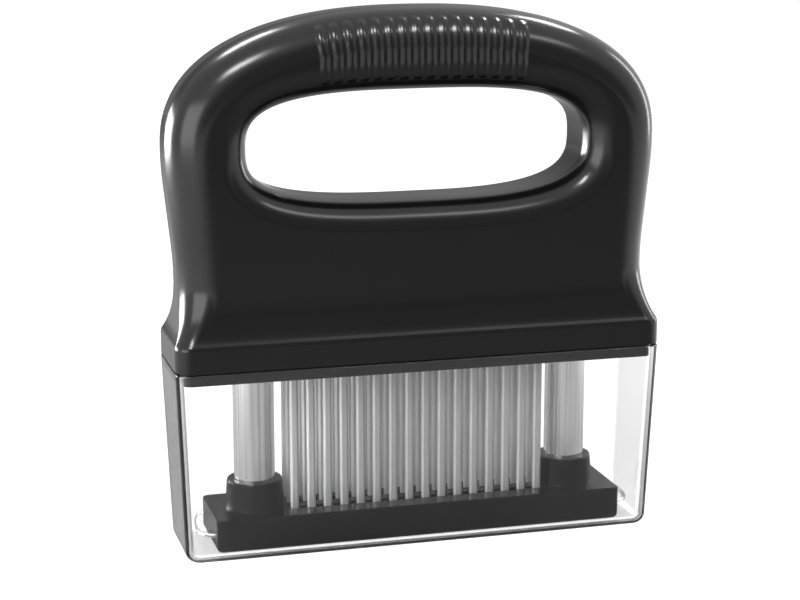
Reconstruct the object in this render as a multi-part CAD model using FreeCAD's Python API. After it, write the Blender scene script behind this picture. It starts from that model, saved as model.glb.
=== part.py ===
import FreeCAD, Part
import os
from math import copysign, cos, pi, radians, sin, sqrt
from FreeCAD import Vector

# Blade meat tenderizer: a loop handle carries three rows of knife blades, a sprung
# guard slides up two posts when it is pressed on the meat, and a clear cover closes it.
# Millimetres. Z is up, X runs along the blade rows, -Y is the front.
# The origin is the middle of the cover's underside.

# ---- handle, outside ----
flange_width = 150.0
flange_depth = 35.0
flange_height = 7.8
flange_corner = 5.0
waist_height = 11.0          # from the flange's top edge up to the narrowest section
waist_inset = 3.0            # how far the cove draws the body in, all round
cove_steps = 6               # sections that the cove is lofted through
body_round = 12.0            # rounding of the body's outer edges
shoulder_overhang = 0.3      # how far the shoulders stand out past the flange at each end
shoulder_rise = 45.0         # from the narrowest section up to the widest point
arch_height = 40.5           # from the widest point up to the top
arch_power = 2.37            # roundness of the arch over the shoulders
arch_spans = 6               # pairs of arcs that follow the arch
side_bend = 5.0              # how far from each end a leaning side starts to turn upright
grip_thickness = 24.25       # from the top down to the finger loop
loop_side = 23.5             # from the finger loop out to the shoulder
loop_height = 32.3
loop_power = 3.05            # roundness of the finger loop
loop_spans = 12              # pairs of arcs that follow the finger loop
loop_round = 9.0             # rounding of the finger loop's edges

# ---- grip ribs ----
rib_count = 16
rib_pitch = 4.0
rib_width = 2.9
rib_crest = 1.3              # width of a rib's top
rib_height = 0.55
rib_sink = 0.3               # how deep a rib's root is set in the handle
rib_overrun = 0.15           # how far a rib runs straight past the start of the lower rounding
rib_up_angle = 52.0          # degrees that a rib climbs over the top rounding
rib_down_angle = 33.0        # degrees that it runs under the lower rounding

# ---- handle, inside ----
handle_wall = 2.6
cavity_roof_gap = 6.0        # plastic left between the cavity and the finger loop
tower_wall = 2.0
tower_foot_gap = 0.4         # from the clamp plate's top up to the towers and the cross ribs
tower_roof_gap = 5.0         # plastic left between a spring tower and the finger loop
head_room = 0.5              # radial gap between a post's ring and its tower
cross_rib_thickness = 1.8
cross_rib_spacing = 24.0
cross_rib_count = 3
boss_wall = 2.2

# ---- cover ----
cover_height = 58.2
cover_wall = 1.8
cover_floor = 1.5
cover_end_draft = 3.0        # how much each end leans in over the height
cover_side_draft = 1.75      # how much the front and the back lean in
cover_corner = 4.5
cover_bottom_round = 3.2

# ---- blade block ----
block_cover_gap = 0.5        # play between the block and the cover's mouth
block_drop = 3.5             # how far the block hangs below the flange
block_fit = 0.1
part_fit = 0.05              # play between parts that are fixed together

# ---- blades ----
blade_rows = ("front", "middle", "rear")
blades_per_row = 16
row_post_gap = 11.05         # from the outer blade's middle to the middle of the guide post
row_spacing = 6.2
blade_width = 2.6
blade_thickness = 1.1
blade_bevel = 0.6
blade_edge = 0.2
blade_point = 2.4
blade_recess = 1.2           # how far the points stay above the guard's underside
blade_head_gap = 0.74        # between the heads of two neighbours
blade_head_height = 2.5
clamp_thickness = 2.4
clamp_margin = 1.6

# ---- guard ----
guard_end_gap = 9.1          # how far the guard stops short of the block at each end
guard_side_gap = 1.6         # and at the front and the back
guard_thickness = 10.2
guard_corner = 2.0
guard_bottom_round = 1.6
guard_top_bevel = 0.5
guard_floor_gap = 1.0        # gap over the cover's floor at rest
slot_clearance = 0.45
boss_base_radius = 9.2
boss_top_radius = 8.4
boss_height = 8.7
boss_bevel = 0.6
travel_gap = 0.4             # gap left under the block when the guard is fully pressed

# ---- guide posts, bushes, rings ----
post_inset = 14.0            # from the guard's end to the middle of a post
post_diameter = 12.4
post_running_fit = 0.05
post_chamfer = 0.4
spring_bore_radius = 4.7
spring_bore_depth = 25.8
ring_thickness = 1.2
ring_overhang = 1.4          # how far the ring stands out from the post
ring_groove_depth = 0.45
ring_seat_gap = 0.1
ring_opening = 60.0          # degrees left open in the ring
post_lip = 1.0
bush_wall = 1.0
bush_flange = 1.0
bush_flange_thickness = 1.5
guard_web = 5.0              # plastic under a post's foot

# ---- return springs ----
spring_wire = 1.2
spring_radius = 3.9          # to the middle of the wire
spring_turns = 9.5
spring_steps = 10            # straight steps to a turn
wire_sides = 6
spring_end_gap = 0.1
spigot_gap = 0.3
spigot_length = 9.0

# ---- screws ----
guard_screw_radius = 1.6
guard_screw_bite = 9.0
guard_screw_head_radius = 3.3
guard_screw_head_height = 2.1
guard_screw_sink = 0.4       # how far the head sits above the guard's underside
block_screw_radius = 1.45
block_screw_bite = 12.0
block_screw_head_radius = 2.8
block_screw_head_height = 1.9
block_screw_sink = 1.0
block_screw_end_inset = 8.3  # from the block's end to the middle of a screw
block_screw_side_inset = 8.4
clamp_screw_radius = 1.2
clamp_screw_bite = 7.0
clamp_screw_head_radius = 2.2
clamp_screw_head_height = 1.5
clamp_screw_columns = 4      # columns of blades between the middle and a clamp screw
head_play = 0.3              # radial play of a screw head in its counterbore
recess_width = 0.8
recess_depth = 1.0
recess_span = 1.2            # length of a cross recess for each unit of head radius

# ---- clear end loops of the guard ----
end_loop_wire = 1.2
end_loop_inset = 1.2         # how far the loop is narrower than the guard on each side
end_loop_reach = 5.4
end_loop_corner = 4.4
end_loop_steps = 4           # straight steps to a corner
end_loop_height = 5.2        # above the guard's underside
end_loop_root = 2.0          # how deep each leg sits in the guard

# ---- places that follow from the sizes above ----
flange_bottom_z = cover_height
flange_top_z = flange_bottom_z + flange_height
waist_z = flange_top_z + waist_height
body_width = flange_width - 2 * waist_inset
body_depth = flange_depth - 2 * waist_inset
shoulder_width = flange_width + 2 * shoulder_overhang
shoulder_z = waist_z + shoulder_rise
handle_top_z = shoulder_z + arch_height
loop_width = shoulder_width - 2 * loop_side
loop_top_z = handle_top_z - grip_thickness
loop_bottom_z = loop_top_z - loop_height
loop_middle_z = (loop_top_z + loop_bottom_z) / 2
arch_oval = (shoulder_width / 2, handle_top_z - shoulder_z, arch_power, shoulder_z)
loop_oval = (loop_width / 2, loop_height / 2, loop_power, loop_middle_z)
block_inset = cover_wall + block_cover_gap
block_width = flange_width - 2 * block_inset
block_depth = flange_depth - 2 * block_inset
block_corner = flange_corner - block_inset
block_bottom_z = flange_bottom_z - block_drop
block_top_z = flange_top_z
block_screw_x = block_width / 2 - block_screw_end_inset
block_screw_y = block_depth / 2 - block_screw_side_inset
guard_width = block_width - 2 * guard_end_gap
guard_depth = block_depth - 2 * guard_side_gap
guard_bottom_z = cover_floor + guard_floor_gap
guard_top_z = guard_bottom_z + guard_thickness
boss_top_z = guard_top_z + boss_height
guard_travel = block_bottom_z - boss_top_z - travel_gap
blade_tip_z = guard_bottom_z + blade_recess
head_top_z = block_top_z + blade_head_height
clamp_top_z = head_top_z + clamp_thickness
post_radius = post_diameter / 2
post_x = guard_width / 2 - post_inset
row_length = 2 * (post_x - row_post_gap)
blade_pitch = row_length / (blades_per_row - 1)
blade_head_width = blade_pitch - blade_head_gap
end_loop_width = guard_depth - 2 * end_loop_inset
post_foot_z = guard_bottom_z + guard_web
bush_bore_radius = post_radius + post_running_fit
bush_radius = bush_bore_radius + bush_wall
bush_top_z = block_top_z + bush_flange_thickness
ring_radius = post_radius + ring_overhang
ring_bottom_z = bush_top_z + ring_seat_gap
post_top_z = ring_bottom_z + ring_thickness + post_lip
groove_radius = post_radius - ring_groove_depth
spring_seat_z = post_top_z - spring_bore_depth
tower_bore_radius = ring_radius + head_room
tower_radius = tower_bore_radius + tower_wall
spigot_radius = spring_radius - spring_wire / 2 - spigot_gap


# ---- shape helpers ----
tiny = 1e-3                  # closer than this is taken as the same place
past = 1.0                   # how far a cut runs on past the face that it opens


def rounded_rectangle(width, depth, radius, z):
    """Closed wire of four sides and four corner arcs in the plane at height z."""
    hx, hy = width / 2 - radius, depth / 2 - radius
    corners = ((hx, hy, 0), (-hx, hy, 90), (-hx, -hy, 180), (hx, -hy, 270))
    arcs = []
    for cx, cy, start in corners:
        points = []
        for turn in (0, 45, 90):
            a = radians(start + turn)
            points.append(Vector(cx + radius * cos(a), cy + radius * sin(a), z))
        arcs.append(Part.Arc(*points).toShape())
    edges = []
    for i, arc in enumerate(arcs):
        following = arcs[(i + 1) % 4]
        edges.append(arc)
        edges.append(Part.makeLine(arc.Vertexes[-1].Point, following.Vertexes[0].Point))
    return Part.Wire(edges)


def rounded_block(width, depth, radius, low, high):
    """Upright block with rounded corners between two heights."""
    face = Part.Face(rounded_rectangle(width, depth, radius, low))
    return face.extrude(Vector(0, 0, high - low))


def cylinder(radius, low, high, x=0.0, y=0.0):
    return Part.makeCylinder(radius, high - low, Vector(x, y, low))


def box(width, depth, low, high, x=0.0, y=0.0):
    """Box centred on x and y."""
    corner = Vector(x - width / 2, y - depth / 2, low)
    return Part.makeBox(width, depth, high - low, corner)


def turned(points):
    """Solid turned about Z from (radius, z) points."""
    ring = [Vector(r, 0, z) for r, z in points]
    face = Part.Face(Part.makePolygon(ring + [ring[0]]))
    return face.revolve(Vector(0, 0, 0), Vector(0, 0, 1), 360)


def moved(shape, x=0.0, y=0.0, z=0.0):
    copy = shape.copy()
    copy.translate(Vector(x, y, z))
    return copy


def oval_rise(oval, x):
    """Height of an oval's outline over its middle at a distance x from its centre."""
    half_width, half_height, power, middle_z = oval
    return half_height * (1 - (abs(x) / half_width) ** power) ** (1 / power)


def oval_point(oval, angle, y):
    """Point of an oval's outline from an angle in radians."""
    half_width, half_height, power, middle_z = oval
    c, s = cos(angle), sin(angle)
    x = copysign(half_width * abs(c) ** (2 / power), c)
    z = copysign(half_height * abs(s) ** (2 / power), s)
    return Vector(x, y, middle_z + z)


def oval_direction(oval, point):
    """Unit direction of an oval's outline at one of its points, anticlockwise from the front."""
    half_width, half_height, power, middle_z = oval
    height = point.z - middle_z
    outward_x = abs(point.x / half_width) ** (power - 1) / half_width
    outward_z = abs(height / half_height) ** (power - 1) / half_height
    return Vector(-copysign(outward_z, height), 0, copysign(outward_x, point.x)).normalize()


def tangent_arc(start, direction, end):
    """Arc that leaves start along a unit direction and ends at end."""
    chord = end - start
    along = chord * (1 / chord.Length)
    turn = direction.dot(along)
    bulge = (direction - along * turn) * (chord.Length / 2 / (1 + turn))
    return Part.Arc(start, (start + end) * 0.5 + bulge, end).toShape()


def oval_arcs(oval, first, last, spans, y):
    """Tangent arcs that follow an oval between two angles in radians, two to a span."""
    arcs = []
    for i in range(spans):
        start = oval_point(oval, first + (last - first) * i / spans, y)
        end = oval_point(oval, first + (last - first) * (i + 1) / spans, y)
        leaving, arriving = oval_direction(oval, start), oval_direction(oval, end)
        bend = 2 * (1 - leaving.dot(arriving))
        along = (end - start).dot(leaving + arriving)
        reach = (sqrt(along ** 2 + bend * (end - start).Length ** 2) - along) / bend
        joint = (start + end + (leaving - arriving) * reach) * 0.5
        arcs.append(tangent_arc(start, leaving, joint))
        arcs.append(tangent_arc(end, -arriving, joint))
    return arcs


def face_edges(shape, y, low_z, high_z):
    """Edges in the planes at -y and +y that rise between two heights."""
    found = []
    for edge in shape.Edges:
        bounds = edge.BoundBox
        flat = bounds.YLength < tiny and abs(abs(bounds.YMin) - y) < tiny
        rises = bounds.ZLength > tiny
        if flat and rises and bounds.ZMin > low_z - tiny and bounds.ZMax < high_z + tiny:
            found.append(edge)
    return found


def level_edges(shape, z):
    """Edges that lie flat at height z."""
    return [edge for edge in shape.Edges if abs(edge.BoundBox.ZMin - z) + edge.BoundBox.ZLength < tiny]


def loop_under_z(x):
    """Height of the finger loop's lower edge at x."""
    return loop_middle_z - oval_rise(loop_oval, x)


def cross_recess(radius, face_z, depth):
    """Cross cut for a screwdriver, open at face_z and as deep as depth (signed)."""
    low, high = sorted((face_z, face_z + depth))
    length = radius * recess_span
    return box(length, recess_width, low, high).fuse(box(recess_width, length, low, high))


# ---- handle ----
def arch_solid():
    """Upper body: the arch outline as thick as the body, its edges rounded, with the loop cut out."""
    front = -body_depth / 2
    up = Vector(0, 0, 1)
    foot = Vector(body_width / 2, front, waist_z)
    shoulder = Vector(shoulder_width / 2, front, shoulder_z)
    lean = (shoulder - foot - up * (2 * side_bend)).normalize()
    low_bend = foot + (up + lean) * side_bend
    high_bend = shoulder - (up + lean) * side_bend
    side = [tangent_arc(foot, up, low_bend), Part.makeLine(low_bend, high_bend),
            tangent_arc(high_bend, lean, shoulder)]
    other_side = [edge.mirror(Vector(0, 0, 0), Vector(1, 0, 0)) for edge in reversed(side)]
    base = Part.makeLine(Vector(-foot.x, front, waist_z), foot)
    outline = side + oval_arcs(arch_oval, 0, pi, arch_spans, front) + other_side + [base]
    solid = Part.Face(Part.Wire(outline)).extrude(Vector(0, body_depth, 0))
    edges = face_edges(solid, body_depth / 2, waist_z, handle_top_z)
    solid = solid.makeFillet(body_round, edges)

    loop = Part.Wire(oval_arcs(loop_oval, 0, 2 * pi, loop_spans, front - past))
    solid = solid.cut(Part.Face(loop).extrude(Vector(0, body_depth + 2 * past, 0)))
    return solid.makeFillet(loop_round, face_edges(solid, body_depth / 2, loop_bottom_z, loop_top_z))


def cove_solid():
    """Lower body: sections that swell along a hollow curve from the waist out to the flange."""
    radius = (waist_height ** 2 + waist_inset ** 2) / (2 * waist_inset)
    sections = []
    for i in range(cove_steps + 1):
        drop = waist_height * (1 - i / cove_steps)
        swell = radius - sqrt(radius ** 2 - drop ** 2)
        corner = body_round + (flange_corner - body_round) * drop / waist_height
        sections.append(rounded_rectangle(body_width + 2 * swell, body_depth + 2 * swell,
                                          corner, waist_z - drop))
    return Part.makeLoft(sections, True, False)


def rib_solid(x, side):
    """Raised rib over the grip at x, on the front (-1) or the back (+1)."""
    top = shoulder_z + oval_rise(arch_oval, x)
    bottom = loop_middle_z + oval_rise(loop_oval, x)
    face = side * body_depth / 2
    high = Vector(x, face - side * body_round, top - body_round)
    low = Vector(x, face - side * loop_round, bottom + loop_round - rib_overrun)
    spread = (rib_width - rib_crest) / 2 * rib_sink / rib_height
    root, crest = rib_width / 2 + spread, rib_crest / 2

    def section(z):
        sunk, tip = face - side * rib_sink, face + side * rib_height
        ring = [Vector(x - root, sunk, z), Vector(x - crest, tip, z),
                Vector(x + crest, tip, z), Vector(x + root, sunk, z)]
        return Part.Face(Part.makePolygon(ring + [ring[0]]))

    across = Vector(side, 0, 0)
    upper = section(high.z).revolve(high, across, rib_up_angle)
    run = section(low.z).extrude(Vector(0, 0, high.z - low.z))
    lower = section(low.z).revolve(low, -across, rib_down_angle)
    return upper.fuse([run, lower])


def handle_solid():
    flange = rounded_block(flange_width, flange_depth, flange_corner, flange_bottom_z, flange_top_z)
    body = flange.fuse([cove_solid(), arch_solid()])
    first = -(rib_count - 1) * rib_pitch / 2
    ribs = []
    for i in range(rib_count):
        for side in (-1, 1):
            ribs.append(rib_solid(first + i * rib_pitch, side))
    body = body.fuse(ribs)

    cavity_top = loop_bottom_z - cavity_roof_gap
    cavity = rounded_block(body_width - 2 * handle_wall, body_depth - 2 * handle_wall,
                           body_round - handle_wall, flange_top_z - past, cavity_top)
    socket = rounded_block(block_width + 2 * block_fit, block_depth + 2 * block_fit,
                           block_corner + block_fit, flange_bottom_z - past, flange_top_z)
    body = body.cut(cavity.fuse(socket))

    inside_foot_z = clamp_top_z + tower_foot_gap
    inside = []
    for x in (-post_x, post_x):
        inside.append(cylinder(tower_radius, inside_foot_z, cavity_top, x))
    boss_radius = block_screw_radius + part_fit + boss_wall
    for x, y in block_screw_places():
        inside.append(cylinder(boss_radius, block_top_z, cavity_top, x, y))
    for i in range(cross_rib_count):
        x = (i - (cross_rib_count - 1) / 2) * cross_rib_spacing
        depth = body_depth - handle_wall
        inside.append(box(cross_rib_thickness, depth, inside_foot_z + clamp_screw_head_height,
                          cavity_top, x))
    body = body.fuse(inside)

    roof_z = tower_roof_z()
    bores = [
        cylinder(tower_bore_radius, bush_top_z, roof_z, x).cut(
            cylinder(spigot_radius, roof_z - spigot_length, roof_z, x))
        for x in (-post_x, post_x)
    ]
    pilot_top_z = block_top_z + block_screw_bite + past
    pilots = [
        cylinder(block_screw_radius + part_fit, block_top_z, pilot_top_z, x, y)
        for x, y in block_screw_places()
    ]
    return body.cut(bores + pilots).removeSplitter()


def tower_roof_z():
    """Height of the roof that a return spring presses on."""
    return loop_under_z(post_x - tower_bore_radius) - tower_roof_gap


# ---- cover ----
def tapered_box(low_width, low_depth, high_width, high_depth, low_z, high_z, corner):
    """Box with flat leaning walls, its upright edges rounded."""
    x, y = low_width / 2, low_depth / 2
    high_x, high_y = high_width / 2, high_depth / 2
    wedge = Part.makeWedge(-x, low_z, -y, -high_y, -high_x, x, high_z, y, high_y, high_x)
    wedge = wedge.rotated(Vector(0, 0, 0), Vector(1, 0, 0), 90)
    upright = [edge for edge in wedge.Edges if edge.BoundBox.ZLength > (high_z - low_z) / 2]
    return wedge.makeFillet(corner, upright)


def cover_solid():
    """Open-topped clear box whose walls lean in towards the floor."""
    width, depth = flange_width - 2 * cover_end_draft, flange_depth - 2 * cover_side_draft
    outside = tapered_box(width, depth, flange_width, flange_depth, 0, cover_height, cover_corner)
    outside = outside.makeFillet(cover_bottom_round, level_edges(outside, 0))
    share = 2 * cover_floor / cover_height
    walls = 2 * cover_wall
    inside = tapered_box(width + share * cover_end_draft - walls,
                         depth + share * cover_side_draft - walls,
                         flange_width - walls, flange_depth - walls,
                         cover_floor, cover_height, cover_corner - cover_wall)
    return outside.cut(inside)


# ---- blade block, clamp plate and blades ----
def row_y(row):
    return (row - (len(blade_rows) - 1) / 2) * row_spacing


def blade_x(column):
    return -row_length / 2 + column * blade_pitch


def blade_solid():
    """Knife blade on the Z axis: bevelled edges, a two-sided point and a head that hangs in the block."""
    half, flat = blade_width / 2, blade_width / 2 - blade_bevel
    thick, edge = blade_thickness / 2, blade_edge / 2
    section = [(half, edge), (flat, thick), (-flat, thick), (-half, edge),
               (-half, -edge), (-flat, -thick), (flat, -thick), (half, -edge)]
    ring = [Vector(x, y, blade_tip_z) for x, y in section]
    shank = Part.Face(Part.makePolygon(ring + [ring[0]])).extrude(
        Vector(0, 0, block_top_z - blade_tip_z))
    point = blade_tip_z + blade_point
    outline = [(0, blade_tip_z), (half, point), (half, block_top_z), (-half, block_top_z),
               (-half, point)]
    ring = [Vector(x, -blade_thickness, z) for x, z in outline]
    plate = Part.Face(Part.makePolygon(ring + [ring[0]])).extrude(
        Vector(0, 2 * blade_thickness, 0))
    head = box(blade_head_width, blade_thickness, block_top_z, head_top_z)
    return shank.common(plate).fuse(head).removeSplitter()


def blade_row(row):
    one = blade_solid()
    return Part.makeCompound([
        moved(one, blade_x(column), row_y(row)) for column in range(blades_per_row)
    ])


def clamp_screw_places():
    x = blade_pitch * clamp_screw_columns
    y = row_spacing / 2
    return [(x, y), (-x, y), (-x, -y), (x, -y)]


def block_screw_places():
    x, y = block_screw_x, block_screw_y
    return [(x, y), (-x, y), (-x, -y), (x, -y)]


def block_solid():
    block = rounded_block(block_width, block_depth, block_corner, block_bottom_z, block_top_z)
    low, high = block_bottom_z - past, block_top_z + past
    cuts = []
    for row in range(len(blade_rows)):
        for column in range(blades_per_row):
            cuts.append(box(blade_width + 2 * part_fit, blade_thickness + 2 * part_fit,
                            low, high, blade_x(column), row_y(row)))
    for x in (-post_x, post_x):
        cuts.append(cylinder(bush_radius + part_fit, low, high, x))
    sink_z = block_bottom_z + block_screw_sink + block_screw_head_height
    for x, y in block_screw_places():
        cuts.append(cylinder(block_screw_radius + part_fit, low, high, x, y))
        cuts.append(cylinder(block_screw_head_radius + head_play, low, sink_z, x, y))
    for x, y in clamp_screw_places():
        cuts.append(cylinder(clamp_screw_radius + part_fit, block_top_z - clamp_screw_bite - past,
                             high, x, y))
    return block.cut(cuts)


def clamp_plate_solid():
    width = row_length + blade_head_width
    depth = row_spacing * (len(blade_rows) - 1) + blade_thickness + 2 * clamp_margin
    plate = rounded_block(width, depth, clamp_margin, head_top_z, clamp_top_z)
    holes = [
        cylinder(clamp_screw_radius + part_fit, head_top_z - past, clamp_top_z + past, x, y)
        for x, y in clamp_screw_places()
    ]
    return plate.cut(holes)


# ---- screws ----
def screw_up(head_low, head_high, head_radius, radius, tip_z):
    """Pan-head screw driven upwards, its cross recess open downwards."""
    screw = cylinder(head_radius, head_low, head_high).fuse(cylinder(radius, head_high, tip_z))
    return screw.cut(cross_recess(head_radius, head_low, recess_depth))


def guard_screw_solids():
    low = guard_bottom_z + guard_screw_sink
    high = low + guard_screw_head_height
    one = screw_up(low, high, guard_screw_head_radius, guard_screw_radius,
                   post_foot_z + guard_screw_bite)
    return Part.makeCompound([moved(one, x) for x in (-post_x, post_x)])


def block_screw_solids():
    low = block_bottom_z + block_screw_sink
    high = low + block_screw_head_height
    one = screw_up(low, high, block_screw_head_radius, block_screw_radius,
                   block_top_z + block_screw_bite)
    return Part.makeCompound([moved(one, x, y) for x, y in block_screw_places()])


def clamp_screw_solids():
    upward = screw_up(-clamp_screw_head_height, 0, clamp_screw_head_radius, clamp_screw_radius,
                      clamp_top_z - block_top_z + clamp_screw_bite)
    down = upward.rotated(Vector(0, 0, 0), Vector(1, 0, 0), 180)
    return Part.makeCompound([moved(down, x, y, clamp_top_z) for x, y in clamp_screw_places()])


# ---- guide posts, bushes, rings and springs ----
def post_solid(x):
    bite = guard_screw_bite + past
    body = turned([
        (0, post_foot_z),
        (post_radius, post_foot_z),
        (post_radius, ring_bottom_z),
        (groove_radius, ring_bottom_z),
        (groove_radius, ring_bottom_z + ring_thickness),
        (post_radius, ring_bottom_z + ring_thickness),
        (post_radius, post_top_z - post_chamfer),
        (post_radius - post_chamfer, post_top_z),
        (spring_bore_radius, post_top_z),
        (spring_bore_radius, spring_seat_z),
        (0, spring_seat_z),
    ])
    hole = cylinder(guard_screw_radius + part_fit, post_foot_z - past, post_foot_z + bite)
    return moved(body.cut(hole), x)


def bush_solid(x):
    sleeve = cylinder(bush_radius, block_bottom_z, block_top_z)
    flange = cylinder(bush_radius + bush_flange, block_top_z, bush_top_z)
    bore = cylinder(bush_bore_radius, block_bottom_z - past, bush_top_z + past)
    return moved(sleeve.fuse(flange).cut(bore), x)


def ring_solid(x):
    """Retaining ring that snaps into the post's groove, open towards the back."""
    low, high = ring_bottom_z, ring_bottom_z + ring_thickness
    inner = groove_radius + part_fit
    ring = cylinder(ring_radius, low, high).cut(cylinder(inner, low - past, high + past))
    half = radians(ring_opening / 2)
    reach = 2 * ring_radius
    gap = Part.Face(Part.makePolygon([
        Vector(0, 0, low - past),
        Vector(reach * sin(half), reach * cos(half), low - past),
        Vector(-reach * sin(half), reach * cos(half), low - past),
        Vector(0, 0, low - past),
    ])).extrude(Vector(0, 0, ring_thickness + 2 * past))
    return moved(ring.cut(gap), x)


def wire_solid(points, radius, sides):
    """Wire of a flat-sided section along a stepped path, mitred at every step."""
    start, along = points[0], (points[1] - points[0]).normalize()
    outward = Vector(0, 0, 1).cross(along).normalize()
    upward = along.cross(outward)
    ring = []
    for i in range(sides + 1):
        a = 2 * pi * i / sides
        ring.append(start + (outward * cos(a) + upward * sin(a)) * radius)
    section = Part.makePolygon(ring)
    return Part.makePolygon(points).makePipeShell([section], True, False, 1)


def spring_solid(x):
    """Coil spring from the post's seat up to the tower's roof."""
    low = spring_seat_z + spring_wire / 2 + spring_end_gap
    high = tower_roof_z() - spring_wire / 2 - spring_end_gap
    steps = round(spring_turns * spring_steps)
    turn = 2 * pi / spring_steps
    points = [
        Vector(x + spring_radius * cos(i * turn), spring_radius * sin(i * turn),
               low + (high - low) * i / steps)
        for i in range(steps + 1)
    ]
    return wire_solid(points, spring_wire / 2, wire_sides)


# ---- guard ----
def boss_solid():
    """Round boss that holds a post's foot, on the Z axis."""
    return turned([(0, guard_top_z), (boss_base_radius, guard_top_z),
                   (boss_top_radius, boss_top_z - boss_bevel),
                   (boss_top_radius - boss_bevel, boss_top_z), (0, boss_top_z)])


def guard_solid():
    plate = rounded_block(guard_width, guard_depth, guard_corner, guard_bottom_z, guard_top_z)
    plate = plate.makeFillet(guard_bottom_round, level_edges(plate, guard_bottom_z))
    plate = plate.makeChamfer(guard_top_bevel, level_edges(plate, guard_top_z))
    plate = plate.fuse([moved(boss_solid(), x) for x in (-post_x, post_x)])
    low = guard_bottom_z - past
    cuts = []
    slot_length = row_length + blade_width + 2 * slot_clearance
    slot_width = blade_thickness + 2 * slot_clearance
    for row in range(len(blade_rows)):
        cuts.append(box(slot_length, slot_width, low, guard_top_z + past, 0, row_y(row)))
    sink_z = guard_bottom_z + guard_screw_sink + guard_screw_head_height
    for x in (-post_x, post_x):
        cuts.append(cylinder(post_radius + part_fit, post_foot_z, boss_top_z + past, x))
        cuts.append(cylinder(guard_screw_radius + part_fit, low, post_foot_z + past, x))
        cuts.append(cylinder(guard_screw_head_radius + head_play, low, sink_z, x))
    for side in (-1, 1):
        for y in end_loop_legs():
            start = Vector(side * (guard_width / 2 + past), y, guard_bottom_z + end_loop_height)
            cuts.append(Part.makeCylinder(end_loop_wire / 2 + part_fit, end_loop_root + past + part_fit,
                                          start, Vector(-side, 0, 0)))
    return plate.cut(cuts)


def end_loop_legs():
    half = (end_loop_width - end_loop_wire) / 2
    return (-half, half)


def end_loop_solid(side):
    """Clear U-shaped loop standing out from an end of the guard, with both legs set in it."""
    z = guard_bottom_z + end_loop_height
    half = end_loop_legs()[1]
    root = guard_width / 2 - end_loop_root
    bend = guard_width / 2 + end_loop_reach - end_loop_wire / 2 - end_loop_corner
    points = [Vector(side * root, -half, z)]
    for centre, start in ((end_loop_corner - half, -90), (half - end_loop_corner, 0)):
        for i in range(end_loop_steps + 1):
            a = radians(start + 90 * i / end_loop_steps)
            points.append(Vector(side * (bend + end_loop_corner * cos(a)),
                                 centre + end_loop_corner * sin(a), z))
    points.append(Vector(side * root, half, z))
    return wire_solid(points, end_loop_wire / 2, wire_sides)


# ---- all parts ----
def build():
    parts = {
        "handle_shell": handle_solid(),
        "blade_block": block_solid(),
        "blade_clamp_plate": clamp_plate_solid(),
        "clamp_screws": clamp_screw_solids(),
        "block_screws": block_screw_solids(),
        "guard_plate": guard_solid(),
        "guard_screws": guard_screw_solids(),
        "cover": cover_solid(),
    }
    for row, name in enumerate(blade_rows):
        parts["blades_" + name] = blade_row(row)
    for side, name in ((-1, "left"), (1, "right")):
        x = side * post_x
        parts["guide_post_" + name] = post_solid(x)
        parts["guide_bush_" + name] = bush_solid(x)
        parts["retaining_ring_" + name] = ring_solid(x)
        parts["return_spring_" + name] = spring_solid(x)
        parts["guard_loop_" + name] = end_loop_solid(side)
    return parts


os.makedirs("parts", exist_ok=True)
for node, shape in build().items():
    if not shape.isValid():
        raise ValueError(node + " is not a valid shape")
    shape.exportStep("parts/" + node + ".step")
    print(node, len(shape.Solids), round(shape.Volume / 1000, 2), "cm3")
print("guard travel", round(guard_travel, 2), "spring roof", round(tower_roof_z(), 2),
      "post top", round(post_top_z, 2))
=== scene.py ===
"""Finished look of a blade meat tenderizer: loop handle, blades, sprung guard and clear cover."""

from math import copysign, cos, hypot, pi, radians, sin

import bpy
from bpy.props import FloatProperty, FloatVectorProperty, IntProperty, PointerProperty
from mathutils import Matrix, Vector
from mathutils.geometry import tessellate_polygon


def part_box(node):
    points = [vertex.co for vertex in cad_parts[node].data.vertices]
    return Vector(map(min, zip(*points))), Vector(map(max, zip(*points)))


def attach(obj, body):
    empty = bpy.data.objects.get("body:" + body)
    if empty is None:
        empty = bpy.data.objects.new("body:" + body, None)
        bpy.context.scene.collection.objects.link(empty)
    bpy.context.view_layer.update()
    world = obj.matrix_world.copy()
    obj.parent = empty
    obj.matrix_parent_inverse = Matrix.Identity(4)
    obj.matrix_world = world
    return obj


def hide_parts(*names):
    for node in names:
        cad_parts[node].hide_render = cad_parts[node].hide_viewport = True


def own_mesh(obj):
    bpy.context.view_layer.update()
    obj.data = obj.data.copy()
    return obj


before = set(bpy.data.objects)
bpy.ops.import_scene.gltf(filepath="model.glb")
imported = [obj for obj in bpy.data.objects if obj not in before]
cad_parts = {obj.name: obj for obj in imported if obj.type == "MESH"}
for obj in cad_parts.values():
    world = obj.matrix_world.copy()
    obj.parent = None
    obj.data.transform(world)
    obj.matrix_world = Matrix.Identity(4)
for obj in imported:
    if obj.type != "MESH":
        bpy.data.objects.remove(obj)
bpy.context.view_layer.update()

bl_info = {
    "name": "Blade Meat Tenderizer",
    "version": (1, 0, 0),
    "blender": (4, 5, 0),
    "location": "3D View > Sidebar > Tenderizer",
    "description": "Builds the handle, guard, posts, cover and studio of a blade meat tenderizer",
    "category": "Object",
}

# Lengths are metres. Z is up, X runs along the blade rows, -Y is the front.
mm = 0.001
flange_low, flange_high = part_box("handle_shell")
_, block_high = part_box("blade_block")
guard_low, guard_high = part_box("guard_plate")
post_low, post_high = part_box("guide_post_right")
_, cover_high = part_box("cover")
spring_low, spring_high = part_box("return_spring_right")
end_loop_low, end_loop_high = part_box("guard_loop_right")
post_x = (post_low.x + post_high.x) / 2
post_radius = (post_high.x - post_low.x) / 2
flange_x = flange_high.x - 0.3 * mm      # the shoulders stand out 0.3 mm past the flange's ends
UP, DOWN = Vector((0, 0, 1)), Vector((0, 0, -1))


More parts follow.
